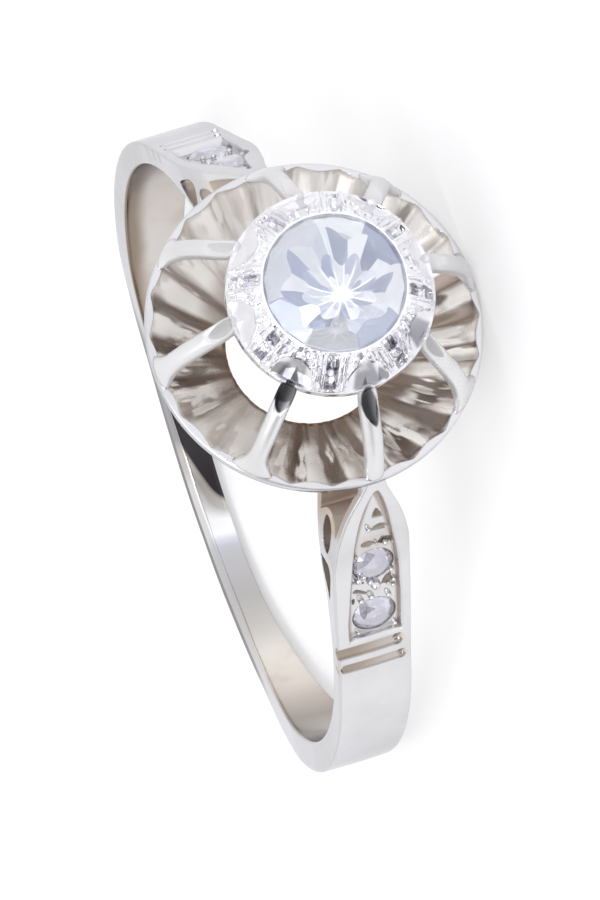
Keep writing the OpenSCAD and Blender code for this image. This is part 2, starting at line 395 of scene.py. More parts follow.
LEAF_2 = [(5.08, 6.93), (5.30, 7.25), (5.50, 7.50), (5.70, 7.66), (5.88, 7.6), (6.0, 7.4), (6.1, 7.1), (6.2, 6.75), (6.27, 6.38), (6.18, 6.31), (5.9, 6.42),
          (5.6, 6.58), (5.3, 6.78)]


def round_outline(pts, steps=5):
    """A closed Catmull-Rom curve, with doubled points kept as corners."""
    pts = np.array(pts, float)
    out = []
    n = len(pts)
    for i in range(n):
        p0, p1, p2, p3 = pts[i - 1], pts[i], pts[(i + 1) % n], pts[(i + 2) % n]
        for s in range(steps):
            t = s / steps
            out.append(0.5 * (2 * p1 + (p2 - p0) * t + (2 * p0 - 5 * p1 + 4 * p2 - p3) * t * t + (3 * p1 - p0 - 3 * p2 + p3) * t**3))
    return np.array(out)


def side_cutter(outline, mx):
    pts = round_outline(outline)
    return loft("opening", [[(mx * x, y, z) for x, z in pts] for y in (-1.6, 1.6)])


# Stones on a shoulder. Columns: climb, across, radius
SMALL = [(4.20, 0.10, 0.59), (2.17, 0.08, 0.62)]


def bright_cuts(mx):
    """Bright cuts crossing between the two stones."""
    return [
            blob_cutter([(3.3, .3), (3.25, .5), (3.34, .66), (3.52, .62), (3.7, .6), (3.62, .45), (3.46, .36)], 0.16, mx),
            blob_cutter([(3.2, -.5), (3.12, -.32), (3.02, -.12), (3.1, -.08), (3.24, -.24), (3.36, -.42), (3.3, -.52)], 0.16, mx),
            blob_cutter([(3.62, -.6), (3.56, -.42), (3.5, -.2), (3.58, -.18), (3.68, -.38), (3.74, -.56)], 0.12, mx),
            blob_cutter([(2.98, -.56), (2.8, -.56), (2.76, -.5), (2.9, -.46), (3.02, -.48)], 0.16, mx)]


def shoulder_cuts(mx):
    cuts = [recess_cutter(mx),
            groove_cutter(1.09, 0.24, 0.0, -1.3 if mx > 0 else -0.9, 0.86, -0.04, mx),
            groove_cutter(0.44, 0.19, 0.0, -1.04 if mx > 0 else -0.86, 0.94, -0.04, mx)]
    for o in ((TRIANGLE, LEAF_1, LEAF_2) if mx > 0 else (TRIANGLE_FAR, LEAF_1_FAR, LEAF_2)):
        cuts.append(side_cutter(o, mx))
    cuts.append(blob_cutter([(6.07, .1), (6.03, .25), (6.05, .42), (6.2, .38), (6.42, .27), (6.44, .22), (6.3, .15)], 0.3, mx))
    cuts.append(blob_cutter([(5.56, .06), (5.53, .25), (5.52, .47), (5.62, .56), (5.72, .5), (5.79, .34), (5.74, .18), (5.64, .05)], 0.3, mx))
    for y, t in ((-0.04, 0.1), (0.46, -0.15)):
        cuts.append(blob_cutter(ring_of(5.07, y, 0.13, 0.2, 16, t), 0.15, mx))
    if mx > 0:
        cuts += bright_cuts(mx)
    for u, y, r in SMALL:
        seat = [(-0.74, ring_of(u, y, r * .25, r * .25, 40)), (-0.62, ring_of(u, y, r * .45, r * .45, 40)), (-0.26, ring_of(u, y, r + .015, r + .015, 40)),
                (-0.1, ring_of(u, y, r + .02, r + .02, 40)), (0.3, ring_of(u, y, r + .05, r + .05, 40))]
        cuts.append(prism_top("seat", seat, mx))
    return cuts


def shoulder_grains(mx):
    n = (mx * CL, 0, SL)
    spots = [(5.72, -0.02, .07), (5.6, 0.16, .05), (5.06, -0.07, .095), (5.03, 0.45, .09), (5.07, 0.2, .05), (4.98, 0.66, .06),
             (3.78, -0.36, .11), (3.86, -0.2, .08), (3.44, 0.12, .15), (3.58, -.02, .1), (3.3, 0.5, .055), (3.42, 0.66, .07), (3.2, 0.64, .07),
             (3.86, 0.6, .08), (2.96, 0.0, .09), (2.9, -.3, .09), (2.86, .5, .08), (1.62, -0.42, .06), (1.6, 0.66, .07), (4.75, -.42, .07)]
    if mx < 0:
        spots = [(u, y, r * .85) for u, y, r in spots[6:] if r > .075]
    return [ball(on_top(u, y, -0.17, mx), r, 1.5, n) for u, y, r in spots]


# ---------------------------------------------------------------- cup
def flute(phi):
    """Ridge and valley round the cup: 1 on a ridge, -1 in a valley, ridges the sharper."""
    c = abs(math.sin(12 * (phi - TURN)))
    return -(1 - 2 * math.sqrt(c * c * 0.8 + 0.2 * c**4 + 0.01))


def cup_profile(phi):
    """The closed outline of the cup's wall at one azimuth, in radius and height."""
    wave = -flute(phi)                                     # 1 in a valley
    pts = []
    foot_r, foot_o = HOLE_R + 0.02, HOLE_R + 0.28
    floor = lambda r: math.sqrt(BORE**2 - (r * math.cos(phi))**2)
    # outside, upwards
    for z in (floor(foot_o), 8.75, 9.0, 9.25):
        pts.append((foot_o, z))
    pts.append((foot_o + 0.015, 9.36))
    for f in np.linspace(0.03, 1, 12):
        r = foot_o + 0.02 + (RIM_R - foot_o - 0.02) * f
        z = 9.4 + (RIM_LOW - 9.4) * f
        pts.append((r - (0.0 if f < 1 else 0.015), z + 0.02 * math.sin(math.pi * f)))
    # rim band and its rounded top
    pts += [(RIM_R, RIM_LOW + 0.03), (RIM_R, RIM_LOW + 0.13), (RIM_R, RIM_Z - 0.06)]
    for a in (30, 60, 90):
        a = math.radians(a)
        pts.append((RIM_R - 0.05 * (1 - math.cos(a)), RIM_Z - 0.05 + 0.05 * math.sin(a)))
    # inside, downwards: flat rim top, then the fluted wall
    edge = 4.445 + 0.07 * wave
    for f in (0.3, 0.6, 0.85):
        pts.append((RIM_R - 0.05 + (edge + 0.03 - RIM_R + 0.05) * f, RIM_Z))
    pts += [(edge + 0.025, RIM_Z - 0.002), (edge + 0.01, RIM_Z - 0.02), (edge, RIM_Z - 0.055)]
    base = HOLE_R + 0.03
    for f in np.linspace(0.05, 1, 22):
        amp = 0.07 + 0.09 * min(f / 0.25, 1.0)**0.7 * (1 - f)**0.6 - 0.045 * f
        r0 = 4.46 + (base - 4.46) * f
        z = RIM_Z - 0.055 + (HOLE_Z + 0.02 - RIM_Z + 0.055) * f
        bow = 0.10 * math.sin(math.pi * f)
        pts.append((r0 + amp * wave + bow * 0.6, z - bow * 0.5))
    pts += [(HOLE_R + 0.005, HOLE_Z - 0.005), (HOLE_R, HOLE_Z - 0.05)]
    for z in (9.2, 9.0, 8.8, floor(foot_r)):
        pts.append((foot_r - 0.01, z))
    return pts


def cup():
    rows = []
    n = 576
    for i in range(n):
        phi = 2 * math.pi * i / n
        rows.append([(r * math.cos(phi), r * math.sin(phi), z) for r, z in cup_profile(phi)])
    return loft("cup", rows, closed_rows=True)


# Azimuths of the claws, from the near shoulder towards +Y
AZ = [1.9, 47, 93, 137, 178.5, -134, -89.5, -42]
# Half width of each claw's foot along the rim
FOOT = [.25, .62, .60, .66, .60, .50, .50, .60]
# Outer line of a claw. Columns: radius, height, half width over the foot's own, thickness
CLAW = [
    (4.60, 11.20, 1.0, .30), (4.60, 11.36, .93, .30), (4.575, 11.50, .70, .34), (4.53, 11.70, .38, .38), (4.46, 11.92, .14, .42), (4.36, 12.2, .04, .45),
    (4.2, 12.53, 0, .47), (4.0, 12.86, 0, .48), (3.76, 13.19, 0, .48), (3.5, 13.52, 0, .48), (3.27, 13.8, 0, .46), (3.1, 14.03, 0, .42),
    (2.98, 14.22, -.03, .36), (2.91, 14.35, -.08, .28), (2.88, 14.42, -.13, .18), (2.875, 14.455, -.2, .07)]


def claw(az, i):
    rows = []
    line = np.array(CLAW)
    tab = np.c_[np.arange(len(line)), line]
    path = np.array([[smooth(x, tab, c) for c in (1, 2, 3, 4)] for x in np.linspace(0, len(line) - 1, 64)])
    rod = 0.262 + 0.012 * math.sin(2.3 * i + 1)
    run = np.concatenate([[0], np.cumsum(np.hypot(*np.diff(path[:, :2], axis=0).T))])
    left = run[-1] - run                                   # distance from the tip
    for k, (r, z, wide, th) in enumerate(path):
        a, b = path[max(k - 1, 0)], path[min(k + 1, len(path) - 1)]
        d = np.array([b[0] - a[0], b[1] - a[1]])
        d /= np.linalg.norm(d)
        n = np.array([d[1], -d[0]])                        # outwards from the head
        if n[0] < 0:
            n = -n
        w = rod + (FOOT[i] - rod) * wide if wide >= 0 else rod + wide
        # the spoon: a polished hollow along the end, bounded by a crisp edge
        e = 1 - ((left[k] - 0.60) / 0.56)**2
        flat = 0.085 * math.sqrt(e) if e > 0 else 0.0
        loop = []
        for q in np.linspace(0, 2 * math.pi, 45)[:-1]:
            cx, sy = math.cos(q), math.sin(q)
            depth = (math.copysign(abs(cx)**(1.0 if cx > 0 else 0.5), cx) - 1) * th / 2
            if cx > 0 and depth > -flat:
                depth = -flat - 0.035 * (flat / 0.085) * (1 - ((depth + flat) / flat - 1)**2 * 0.5)
            loop.append((r + n[0] * depth, sy * w, z + n[1] * depth))
        rows.append(loop)
    ca, sa = math.cos(math.radians(az)), math.sin(math.radians(az))
    rows = [[(r * ca - y * sa, r * sa + y * ca, z) for r, y, z in loop] for loop in rows]
    return loft("claw", rows)


def mount():
    m = hoop()
    for mx in (1, -1):
        for c in shoulder_cuts(mx):
            boolean(m, c)
    for mx in (1, -1):
        for g in shoulder_grains(mx):
            boolean(m, g, "UNION")
    head = cup()
    for i, az in enumerate(AZ):
        boolean(head, claw(az, i), "UNION")
    # nothing outside the rim, and the finger hole kept open
    n = 192
    tube = [[(R * math.cos(a), R * math.sin(a), z) for a in np.linspace(0, 2 * math.pi, n + 1)[:-1]]
            for R, z in ((7, 10.4), (7, 16), (RIM_R - 0.004, 16), (RIM_R - 0.004, 10.4))]
    boolean(head, loft("tube", tube, closed_rows=True))
    boolean(m, head, "UNION")
    smooth_by_angle(m, 32, one_part=True)
    m.name = "ring_mount_metal"
    return place(m)


# ---------------------------------------------------------------- plate
def hash01(*k):
    v = math.sin(sum(q * w for q, w in zip(k, (127.1, 311.7, 74.7)))) * 43758.5453
    return v - math.floor(v)


def plate_height(a, t, k, e):
    """Height of the plate's pattern over its plain dome. a: mm from the middle of group k, t: 0 at the edge, 1 at the stone, e: mm along the edge."""
    h = 0.0
    step = lambda x, w: 0.5 + 0.5 * math.tanh(x / w)
    box = lambda x, lo, hi, w: step(x - lo, w) * step(hi - x, w)
    inside = box(t, 0.05, 0.95, 0.03)
    j = [hash01(k, q, 3) - 0.5 for q in range(12)]
    lean = 0.10 * j[0]
    b = a - lean * (t - 0.5)
    # raised double bars, each a little different
    for q, (c, w) in enumerate(((-0.33, .058), (-0.205, .05), (0.205, .05), (0.33, .058))):
        c += 0.035 * j[q + 1]
        w *= 1 + 0.35 * j[q + 5]
        top = 0.085 * (1 + 0.7 * j[q + 4]) * (1 - 0.45 * (2 * (t - 0.5 - 0.2 * j[q + 2]))**2)
        h += top * box(b, c - w, c + w, 0.013) * inside
    # dark window with its grain
    h -= 0.16 * box(b, -0.14, 0.14, 0.014) * box(t, 0.10, 0.92, 0.03)
    d = math.hypot(b - 0.03 * j[9], (t - 0.46 - 0.08 * j[10]) * 0.95)
    if d < 0.12:
        h += 0.17 * math.sqrt(max(0.0, 1 - (d / 0.12)**2))
    # polished scallop in front of each claw
    s = abs(a) - 0.90
    q = (s / 0.43)**2 + ((t - 0.22) / 0.42)**2
    if q < 1:
        h -= 0.12 * (1 - q)**0.8
    else:
        # small bright cuts between the larger ones: flat facets of random lean
        best, lean2 = 9, 0
        cx, cy = math.floor(e / 0.17), math.floor(t / 0.24)
        for ix in (-1, 0, 1):
            for iy in (-1, 0, 1):
                px = (cx + ix + 0.15 + 0.7 * hash01(cx + ix, cy + iy, 1)) * 0.17
                py = (cy + iy + 0.15 + 0.7 * hash01(cx + ix, cy + iy, 2)) * 0.24
                dd = (e - px)**2 + ((t - py) * 0.85)**2
                if dd < best:
                    best = dd
                    lean2 = ((hash01(cx + ix, cy + iy, 5) - .5) * (e - px) + (hash01(cx + ix, cy + iy, 7) - .5) * (t - py) * 0.85)
        h += 1.05 * lean2 * inside * step(math.sqrt(q) - 1.06, 0.05)
    # ridge beside the scallop
    q2 = abs(math.sqrt((s / 0.46)**2 + ((t - 0.22) / 0.46)**2) - 1.05)
    h += 0.035 * math.exp(-(q2 / 0.07)**2) * step(t - 0.12, 0.05)
    # small grains between group and scallop, by the stone
    for c in (-0.62, 0.62):
        d2 = math.hypot((a - c) / 0.10, (t - 0.74) / 0.14)
        if d2 < 1:
            h += 0.08 * math.sqrt(1 - d2 * d2)
    return h * step(t - 0.015, 0.012) * step(0.985 - t, 0.012)


def plate():
    n, m = 1080, 50
    rows = []
    for i in range(n):
        phi = 2 * math.pi * i / n
        deg = (math.degrees(phi) - 2.0) % 360
        group = int(deg // 45)
        g = math.radians(deg - 45 * group - 22.5)          # from the middle of a gap between claws
        loop = [(1.55, 14.68), (1.55, SEAT_Z), (2.2, SEAT_Z), (2.72, SEAT_Z), (PLATE_R - 0.01, SEAT_Z + 0.02), (PLATE_R, SEAT_Z + 0.05),
                (PLATE_R, 14.2), (PLATE_R, 14.34), (PLATE_R - 0.008, 14.375)]
        for k in range(m + 1):
            t = k / m
            r = 2.825 + (1.975 - 2.825) * t
            z = PLATE_Z + 0.80 * (1.12 * t - 0.12 * t * t)
            h = plate_height(g * r, t, group, g * r + 3.1 * group)
            # the dome's own normal is about 43 degrees from upright
            loop.append((r + h * 0.68, z + h * 0.73))
        loop += [(1.945, 15.21), (1.935, 15.19), (1.975, 15.14), (1.975, 15.05)]
        rows.append([(r * math.cos(phi), r * math.sin(phi), z) for r, z in loop])
    o = loft("illusion_plate_dome", rows, closed_rows=True)
    smooth_by_angle(o, 38)
    return place(o)


# ---------------------------------------------------------------- stones
def brilliant(name, r, table, crown, girdle, pavilion, star, lower, turn, n=8):
    """Faceted round brilliant, girdle's lower edge at z = 0. Angles run round its own axis."""
    step = 2 * math.pi / n
    P = lambda rad, a, z: (rad * math.cos(a), rad * math.sin(a), z)
    verts, faces = [], []
    add = lambda p: (verts.append(p), len(verts) - 1)[1]
    tan_c = crown / (r - table)
    rs = table + (r - table) * star
    zs = girdle + (r - rs * math.cos(step / 2)) * tan_c
    T = [add(P(table, turn + i * step, girdle + crown)) for i in range(n)]
    S = [add(P(rs, turn + (i + .5) * step, zs)) for i in range(n)]
    GU = [add(P(r, turn + i * step / 2, girdle)) for i in range(2 * n)]
    GL = [add(P(r, turn + i * step / 2, 0)) for i in range(2 * n)]
    tan_p = pavilion / r
    rl = r * (1 - lower)
    zl = -(r - rl * math.cos(step / 2)) * tan_p
    L = [add(P(rl, turn + (i + .5) * step, zl)) for i in range(n)]
    C = add((0, 0, -pavilion))
    faces.append(tuple(T))
    for i in range(n):
        j = (i + 1) % n
        faces.append((T[i], S[i], T[j]))
        faces.append((T[i], S[i - 1], GU[2 * i], S[i]))
        faces.append((S[i], GU[2 * i], GU[2 * i + 1]))
        faces.append((S[i], GU[2 * i + 1], GU[(2 * i + 2) % (2 * n)]))
        faces.append((GL[2 * i], L[i - 1], C, L[i]))
        faces.append((L[i], GL[2 * i], GL[2 * i + 1]))
        faces.append((L[i], GL[2 * i + 1], GL[(2 * i + 2) % (2 * n)]))
    for i in range(2 * n):
        j = (i + 1) % (2 * n)
        faces.append((GL[i], GL[j], GU[j], GU[i]))
    return mesh_object(name, verts, faces)


def centre_stone():
    o = brilliant("centre_brilliant", STONE_R, TABLE_R, TABLE_Z - GIRDLE_Z - 0.04, 0.04, 1.62, 0.52, 0.76, TURN + math.radians(22.5))
    for v in o.data.vertices:
        v.co.z += GIRDLE_Z
    return place(o)


def small_stone(name, u, y, r, mx, turn):
    o = brilliant(name, r - 0.01, 0.34, 0.17, 0.03, 0.40, 0.5, 0.6, turn)
    h = -0.26
    for v in o.data.vertices:
        x, yy, z = v.co
        v.co = on_top(u + x, y + yy, h + z, mx)
    bm = bmesh.new()
    bm.from_mesh(o.data)
    bmesh.ops.recalc_face_normals(bm, faces=bm.faces)
    bm.to_mesh(o.data)
    bm.free()
    return place(o)


# ---------------------------------------------------------------- materials
def nodes_of(name):
    mat = bpy.data.materials.new(name)
    mat.use_nodes = True
    nt = mat.node_tree
    nt.nodes.clear()
    out = nt.nodes.new("ShaderNodeOutputMaterial")
    b = nt.nodes.new("ShaderNodeBsdfPrincipled")
    nt.links.new(b.outputs[0], out.inputs[0])
    return mat, nt, b


class Graph:
    """Short names for building a shader."""

    def __init__(self, nt):
        self.nt = nt

    def node(self, kind, **settings):
        n = self.nt.nodes.new("ShaderNode" + kind)
        for k, v in settings.items():
            setattr(n, k, v)
        return n

    def feed(self, socket, v):
        if isinstance(v, bpy.types.NodeSocket):
            self.nt.links.new(v, socket)
        else:
            socket.default_value = v

    def math(self, op, a, b=0.0, c=0.0):
        n = self.node("Math", operation=op)
        for sock, v in zip(n.inputs, (a, b, c)):
            self.feed(sock, v)
        return n.outputs[0]

    def step(self, v, lo, hi, a=0.0, b=1.0):
        """Smoothly from a to b as v goes from lo to hi."""
        n = self.node("MapRange", interpolation_type="SMOOTHSTEP")
        for sock, x in zip(n.inputs, (v, lo, hi, a, b)):
            self.feed(sock, x)
        return n.outputs[0]

    def mix(self, f, a, b):
        n = self.node("Mix", data_type="RGBA")
        self.feed(n.inputs[0], f)
        self.feed(n.inputs[6], (*a, 1) if isinstance(a, tuple) else a)
        self.feed(n.inputs[7], (*b, 1) if isinstance(b, tuple) else b)
        return n.outputs[2]

    def times(self, *v):
        out = v[0]
        for x in v[1:]:
            out = self.math("MULTIPLY", out, x)
        return out

    def noise(self, vector, scale, detail=3.0, rough=0.5):
        n = self.node("TexNoise")
        self.feed(n.inputs["Vector"], vector)
        n.inputs["Scale"].default_value = scale
        n.inputs["Detail"].default_value = detail
        n.inputs["Roughness"].default_value = rough
        return n.outputs["Fac"]

    def vector(self, x, y, z):
        n = self.node("CombineXYZ")
        for sock, v in zip(n.inputs, (x, y, z)):
            self.feed(sock, v)
        return n.outputs[0]

    def ring_xyz(self, here):
        """Ring-frame coordinates in mm from a point of the object."""
        out = []
        for k in range(3):
            d = self.node("VectorMath", operation="DOT_PRODUCT")
            self.feed(d.inputs[0], here)
            d.inputs[1].default_value = [float(v) * 1000 for v in A[:, k]]
            out.append(self.math("ADD", d.outputs["Value"], -float(B @ A[:, k])))
        return out


def surface(g, b, color, rough, here, bevel, grain=1.0):
    """Colour, roughness and a fine bump over rounded edges."""
    fine = g.noise(here, 2600, 3)
    soft = g.noise(here, 700, 3)
    bev = g.node("Bevel", samples=4)
    bev.inputs[0].default_value = bevel
    bump = g.node("Bump")
    bump.inputs["Strength"].default_value = 0.3
    bump.inputs["Distance"].default_value = 4e-6 * grain
    wave = g.node("Bump")
    wave.inputs["Strength"].default_value = 0.35
    wave.inputs["Distance"].default_value = 1.6e-5 * grain
    g.feed(wave.inputs["Height"], soft)
    g.feed(wave.inputs["Normal"], bev.outputs[0])
    g.feed(bump.inputs["Height"], fine)
    g.feed(bump.inputs["Normal"], wave.outputs[0])
    g.feed(b.inputs["Normal"], bump.outputs[0])
    g.feed(b.inputs["Base Color"], color)
    g.feed(b.inputs["Roughness"], g.math("ADD", rough, g.math("MULTIPLY_ADD", fine, 0.10, -0.05)))


def mount_metal():
    """White gold, beige inside the band and brown down in the cup and the cuts: partly rhodium worn off in the hollows,
    partly painted shade and painted reflection.
    """
    mat, nt, b = nodes_of("white_gold")
    g = Graph(nt)
    here = g.node("TexCoord").outputs["Object"]
    x, y, z = g.ring_xyz(here)
    ax, ay = g.math("ABSOLUTE", x), g.math("ABSOLUTE", y)
    r = g.math("SQRT", g.math("ADD", g.times(x, x), g.times(y, y)))
    rho = g.math("SQRT", g.math("ADD", g.times(x, x), g.times(z, z)))
    depth = g.math("SUBTRACT", TOP, g.math("ADD", g.times(ax, CL), g.times(z, SL)))
    climb = g.math("SUBTRACT", g.times(z, CL), g.times(ax, SL))
    turn = g.math("ARCTAN2", y, x)
    cloud = g.noise(here, 380, 4, 0.6)
    broad = g.noise(here, 150, 3)
    streak = g.noise(g.vector(g.times(g.math("COSINE", turn), 3.0), g.times(g.math("SINE", turn), 3.0), g.times(z, 0.25)), 3.2, 3)
    col = g.mix(g.step(cloud, .35, .7), (0.71, 0.705, 0.715), (0.64, 0.63, 0.63))
    rough = g.step(broad, .35, .65, .13, .2)
    # inside of the cup
    wall = g.math("SUBTRACT", z, g.math("MULTIPLY_ADD", r, 0.804, 11.285 - 4.46 * 0.804))
    cup_in = g.times(g.step(wall, -.30, -.25), g.step(wall, .3, .2), g.step(r, 4.55, 4.49), g.step(z, 9.1, 9.3), g.step(z, 11.335, 11.315))
    flute_side = g.math("SINE", g.math("MULTIPLY_ADD", turn, 24.0, -24.0 * TURN + 0.5))
    valley = g.math("COSINE", g.math("MULTIPLY_ADD", turn, 24.0, -24.0 * TURN))
    deep = g.math("ADD", g.step(r, 4.1, 2.35), g.math("MULTIPLY_ADD", cloud, .8, -.4))
    # painted shade and painted reflection by azimuth: between the claws towards the near shoulder the cup is the darker
    # and the more streaked
    painted_azimuth_shade_ramp = g.node("ValToRGB")
    e = painted_azimuth_shade_ramp.color_ramp.elements
    e[0].position, e[0].color = 0, (0, 0, 0, 1)
    e[1].position, e[1].color = 1, (0, 0, 0, 1)
    for deg, v in ((-140, .0), (-122, .8), (-95, .95), (-80, .9), (-68, .1), (-50, .05), (-38, .9), (35, 1.0), (90, 1.0), (107, .25), (150, .05)):
        k = e.new((deg + 180) / 360)
        k.color = (v, v, v, 1)
    g.feed(painted_azimuth_shade_ramp.inputs[0], g.math("MULTIPLY_ADD", turn, 1 / math.tau, .5))
    dark = g.node("RGBToBW")
    g.feed(dark.inputs[0], painted_azimuth_shade_ramp.outputs[0])
    dark = dark.outputs[0]
    radial = lambda k, across, s: g.noise(g.vector(g.times(g.math("COSINE", turn), across), g.times(g.math("SINE", turn), across), g.math("MULTIPLY_ADD", r, k, 7.0 * k)), s, 2)
    # painted reflection and shade along the flutes: light and beige streaks, and one side of each flute dark brown,
    # more so where the azimuth shade is dark
    tone = g.mix(g.step(streak, .38, .62), (0.99, 0.96, 0.92), (0.80, 0.73, 0.67))
    shade = g.math("ADD", g.math("MULTIPLY_ADD", flute_side, .7, -.12), g.math("ADD", g.math("MULTIPLY_ADD", streak, 1.3, -.65), g.math("MULTIPLY_ADD", dark, .62, -.33)))
    tone = g.mix(g.times(g.step(shade, -.1, .6), g.math("MULTIPLY_ADD", dark, .45, .5)), tone, (0.18, 0.135, 0.11))
    # painted reflection: near-black radial streaks where the azimuth shade is dark
    tone = g.mix(g.times(g.step(radial(.35, 4.5, 1.5), .50, .60), g.step(r, 4.5, 3.7, .3, 1), dark, .85), tone, (0.10, 0.07, 0.05))
    # painted glints: near-white radial streaks on the upper wall of the cup, mostly on one side of each flute
    lit = radial(.55, 3.0, 1.35)
    bright = g.times(g.step(lit, .45, .56), g.step(flute_side, .55, -.1), g.step(r, 2.7, 3.2))
    bright = g.math("MAXIMUM", bright, g.times(g.step(radial(.55, 8.0, 1.3), .55, .61), g.step(r, 2.8, 3.3)))
    tone = g.mix(bright, tone, (1.0, 0.965, 0.915))
    # painted shade down the valleys of the flutes
    tone = g.mix(g.times(g.step(g.math("ADD", valley, g.math("MULTIPLY_ADD", cloud, 1.2, -.6)), .55, 1.2, 0, .8), g.math("MULTIPLY_ADD", dark, .7, .3)), tone, (0.22, 0.16, 0.12))
    # darker brown towards the base of the cup, weighted by the painted azimuth shade
    tone = g.mix(g.times(g.step(deep, .5, 1.15, 0, .85), g.math("MULTIPLY_ADD", dark, .5, .5)), tone, (0.20, 0.135, 0.09))
    tone = g.mix(g.step(r, 4.38, 4.5, 0, .7), tone, (0.90, 0.86, 0.78))
    col = g.mix(g.times(cup_in, .95), col, tone)
    rough = g.math("ADD", rough, g.times(cup_in, .12))
    # claws: paler and softer than the rest, a lighter copy of the metal: painted light for the even light they catch
    claws = g.step(z, 11.35, 11.45)
    col = g.mix(g.times(claws, .8), col, g.mix(g.step(cloud, .35, .7), (0.80, 0.80, 0.805), (0.72, 0.715, 0.715)))
    rough = g.math("ADD", rough, g.times(claws, .14))
    # painted reflection: the polished ends of the claws that face down the picture are coloured near-black, standing in
    # for the dark they reflect
    painted_claw_reflections_all = None
    for az, mid, half, wide, drift, much in ((AZ[0], 3.22, .46, .23, .07, .97), (AZ[7], 3.08, .34, .25, .02, .97), (AZ[6], 3.1, .3, .2, 0, .35),
                                             (AZ[5], 3.2, .35, .15, 0, .2), (AZ[1], 3.15, .34, .18, 0, .4)):
        ca, sa = math.cos(math.radians(az)), math.sin(math.radians(az))
        along = g.math("DIVIDE", g.math("ADD", g.math("ADD", g.times(x, ca), g.times(y, sa)), -mid), half)
        side = g.math("ADD", g.math("ADD", g.times(y, ca), g.times(x, -sa)), g.times(along, -drift))
        side = g.math("DIVIDE", side, g.math("MULTIPLY_ADD", along, -wide * .35, wide))
        oval = g.math("ADD", g.math("ADD", g.times(along, along), g.times(side, side)), g.math("MULTIPLY_ADD", cloud, 1.1, -.55))
        painted_claw_reflection = g.times(g.step(oval, 1.1, .75), g.step(z, 12.5, 12.7), much)
        dip = g.math("MULTIPLY_ADD", broad, 1.5, g.times(side, .5))
        col = g.mix(painted_claw_reflection, col, g.mix(g.step(dip, .5, 1.3), (0.02, 0.02, 0.025), (0.30, 0.30, 0.31)))
        rough = g.math("SUBTRACT", rough, g.times(painted_claw_reflection, .2))
        painted_claw_reflections_all = painted_claw_reflection if painted_claw_reflections_all is None else g.math("MAXIMUM", painted_claw_reflections_all, painted_claw_reflection)
    # base of the cup
    col = g.mix(g.times(g.step(r, 2.36, 2.28), g.step(z, 9.62, 9.5), g.step(z, 8.0, 8.3)), col, (0.26, 0.18, 0.12))
    # inner face of the band: beige and brown by the angle round the hole, with a painted near-black reflection and a
    # painted white highlight towards the back of the band
    bore = g.step(rho, 8.56, 8.515)
    about = g.math("ARCTAN2", z, x)
    slant = g.step(about, math.radians(-100), math.radians(-90), math.radians(21), math.radians(1))
    round_it = g.math("DIVIDE", g.math("SUBTRACT", about, g.times(y, slant)), math.tau)
    bore_ramp_with_reflections = g.node("ValToRGB")
    stops = [(-180, .60, .555, .52), (-150, .64, .60, .57), (-125, .62, .58, .55), (-116, .045, .04, .045), (-99.5, .05, .045, .05), (-98, .60, .56, .50), (-94.5, .56, .54, .52),
             (-91.5, .94, .93, .92), (-88.5, .93, .93, .94), (-86.5, .56, .57, .64), (-84, .52, .51, .52), (-75, .47, .455, .45), (-67, .58, .56, .535), (-60, .78, .74, .69),
             (-50, .70, .64, .58), (-44, .53, .48, .43), (-36, .38, .335, .295), (-26, .52, .48, .44), (0, .72, .70, .68), (90, .70, .67, .64), (180, .60, .555, .52)]
    e = bore_ramp_with_reflections.color_ramp.elements
    e[0].position, e[0].color = 0, (*stops[0][1:], 1)
    e[1].position, e[1].color = 1, (*stops[-1][1:], 1)
    for deg, *rgb in stops[1:-1]:
        k = e.new((deg + 180) / 360)
        k.color = (*rgb, 1)
    g.feed(bore_ramp_with_reflections.inputs[0], g.math("ADD", g.math("ADD", round_it, 0.5), g.math("MULTIPLY_ADD", broad, .012, -.006)))
    patch = g.math("ADD", g.math("MULTIPLY", cloud, .6), g.math("MULTIPLY", broad, .5))
    inside = g.mix(g.times(g.step(patch, .52, .68, 0, .75), g.step(z, -7.9, -6.8)), bore_ramp_with_reflections.outputs[0], (0.46, 0.39, 0.33))
    inside = g.mix(g.times(g.step(g.math("MULTIPLY_ADD", cloud, .5, y), .05, -.45), g.step(x, 2, -2), g.step(z, -7, -5.5), g.step(z, 4, 2)), inside, (0.30, 0.24, 0.19))
    col = g.mix(bore, col, inside)
    # side face that looks up from the floor, towards the back of the band: it runs on from the inner face, painted
    # reflections included, with a painted dark outer edge that stands in for shade
    facing = g.node("VectorMath", operation="DOT_PRODUCT")
    g.feed(facing.inputs[0], g.node("NewGeometry").outputs["True Normal"])
    facing.inputs[1].default_value = [-float(v) for v in A[:, 1]]
    flank = g.times(g.step(facing.outputs["Value"], .08, .4), g.step(z, -5.8, -7.6), g.step(x, 6.0, 4.0), g.step(rho, 8.5, 8.52))
    out = g.math("SUBTRACT", OUTER, g.math("DIVIDE", g.times(z, DROP), rho))
    painted_edge_shade = g.step(g.math("SUBTRACT", out, rho), .52, .36)
    col = g.mix(flank, col, g.mix(painted_edge_shade, g.mix(.5, inside, (0.62, 0.60, 0.59)), (0.20, 0.175, 0.18)))
    rough = g.math("ADD", rough, g.times(flank, .15))
    # walls of the side openings: beige-brown, lighter on the far shoulder, painted light that lifts the shade deep
    # inside the openings
    hole = g.times(g.step(ay, .97, .72), g.step(depth, .27, .36), g.step(rho, 8.55, 8.66), g.step(ax, 2.5, 2.8), g.step(z, 6.0, 6.2), g.step(z, 9.3, 9.1))
    col = g.mix(hole, col, g.mix(g.step(x, -1, 1), (0.86, 0.77, 0.70), g.mix(g.step(cloud, .3, .7), (0.74, 0.63, 0.55), (0.52, 0.42, 0.35))))
    rough = g.math("ADD", rough, g.times(hole, .3))
